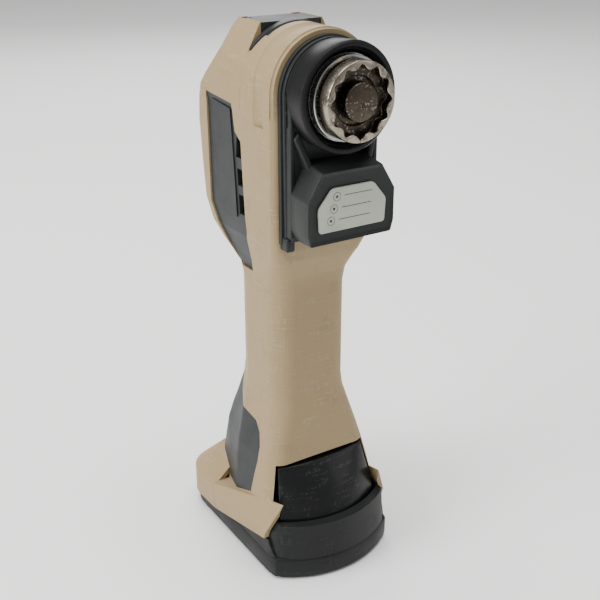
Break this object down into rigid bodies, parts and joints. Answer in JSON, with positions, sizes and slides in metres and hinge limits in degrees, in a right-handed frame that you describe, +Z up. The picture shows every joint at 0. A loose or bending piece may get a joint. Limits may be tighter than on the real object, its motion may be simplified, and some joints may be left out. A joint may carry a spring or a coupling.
{
  "type": "cordless oscillating multi-tool",
  "caption": "Handheld cordless oscillating tool with a star-recess quick-clamp holder and a slide-on battery that it stands on.",
  "frame": {"origin": "on the flat underside of the battery, below the spindle axis and on the tool's middle plane", "axes": "+Z up along the handle, -Y towards the tool holder, +X to the tool's right as seen in the front view"},
  "size_m": [0.078, 0.1204, 0.2844],
  "materials": {
    "housing_tan": "fine textured",
    "cover_black": "satin",
    "grip_grey": "soft matte",
    "panel_grey": "satin",
    "switch_black": "satin",
    "label": "smooth",
    "cast_alloy": "cast",
    "steel": "ground",
    "holder_steel": "worn oxide",
    "screw_black": "black oxide",
    "lamination": "varnished",
    "copper": "enamelled wire",
    "fan_plastic": "moulded",
    "circuit_board": "solder mask",
    "wire_sleeve": "smooth",
    "battery_grey": "fine textured, scuffed",
    "button_gloss": "gloss",
    "cell_sleeve": "shrink sleeve",
    "holder_plastic": "moulded"
  },
  "bodies": {
    "housing": {"housing_left": "housing_tan", "housing_right": "housing_tan", "rear_skirt": "housing_tan", "rear_insert": "grip_grey", "grip_back_strip": "grip_grey", "front_cover": "cover_black", "label_plate": "label", "side_panel_left": "panel_grey", "side_panel_right": "panel_grey", "rating_plate_left": "panel_grey", "rating_plate_right": "panel_grey", "gear_housing": "cast_alloy", "gear_housing_cover": "cast_alloy", "gear_housing_screws": "screw_black", "damper_rings": "grip_grey", "front_spindle_bearing": "steel", "rear_spindle_bearing": "steel", "dust_ring": "steel", "spindle_seal": "grip_grey", "stator": "lamination", "stator_windings": "copper", "motor_end_bracket": "cover_black", "sensor_board": "circuit_board", "motor_rear_bearing": "steel", "motor_front_bearing": "steel", "controller_board": "circuit_board", "lead_wires": "wire_sleeve", "switch_module": "switch_black", "dial_module": "switch_black", "terminal_block": "holder_plastic", "terminal_blades": "copper", "lever_pin": "steel", "housing_screws": "screw_black"},
    "rotor": {"rotor": "lamination", "motor_shaft": "steel", "eccentric_bearing": "steel", "balance_weight": "steel", "cooling_fan": "fan_plastic"},
    "spindle": {"spindle": "steel", "oscillating_fork": "steel", "spindle_ring": "steel", "tool_holder": "holder_steel", "clamp_spring": "steel"},
    "clamp": {"clamp_bolt": "holder_steel", "clamp_nut": "steel"},
    "lever": {"clamp_lever": "panel_grey", "release_cam": "steel"},
    "switch": {"slide_switch": "switch_black", "switch_link": "switch_black"},
    "dial": {"speed_dial": "panel_grey"},
    "battery": {"battery_case_lower": "battery_grey", "battery_case_upper": "battery_grey", "battery_screws": "screw_black", "battery_cells": "cell_sleeve", "cell_holder": "holder_plastic", "battery_board": "circuit_board", "battery_contacts": "copper", "button_spring": "screw_black"},
    "button": {"battery_button": "button_gloss"}
  },
  "joints": [
    {"name": "motor_spin", "type": "hinge", "parent": "housing", "child": "rotor", "pos_m": [0, 0.004, 0.2], "axis": [0, 0, 1], "continuous": true},
    {"name": "spindle_swing", "type": "hinge", "parent": "housing", "child": "spindle", "pos_m": [0, 0, 0.2557], "axis": [0, -1, 0], "range_deg": [-1.8, 1.8]},
    {"name": "lever_lift", "type": "hinge", "parent": "housing", "child": "lever", "pos_m": [0, 0.034, 0.2575], "axis": [-1, 0, 0], "range_deg": [0, 90]},
    {"name": "clamp_travel", "type": "slide", "parent": "spindle", "child": "clamp", "axis": [0, -1, 0], "range_m": [0, 0.0025]},
    {"name": "switch_slide", "type": "slide", "parent": "housing", "child": "switch", "axis": [0, 0, 1], "range_m": [0, 0.006]},
    {"name": "dial_turn", "type": "hinge", "parent": "housing", "child": "dial", "pos_m": [0, 0.0175, 0.0552], "axis": [0, 0, 1], "range_deg": [-75, 75]},
    {"name": "battery_slide", "type": "slide", "parent": "housing", "child": "battery", "axis": [0, -1, 0], "range_m": [0, 0.11]},
    {"name": "button_press", "type": "slide", "parent": "battery", "child": "button", "axis": [0, 0, -1], "range_m": [0, 0.003], "stiffness_N_per_m": 500, "springref_m": -0.003, "deforming": ["button_spring"]}
  ],
  "couplings": [
    {"joint": "clamp_travel", "follows": "lever_lift", "m_per_rad": 0.00159}
  ]
}
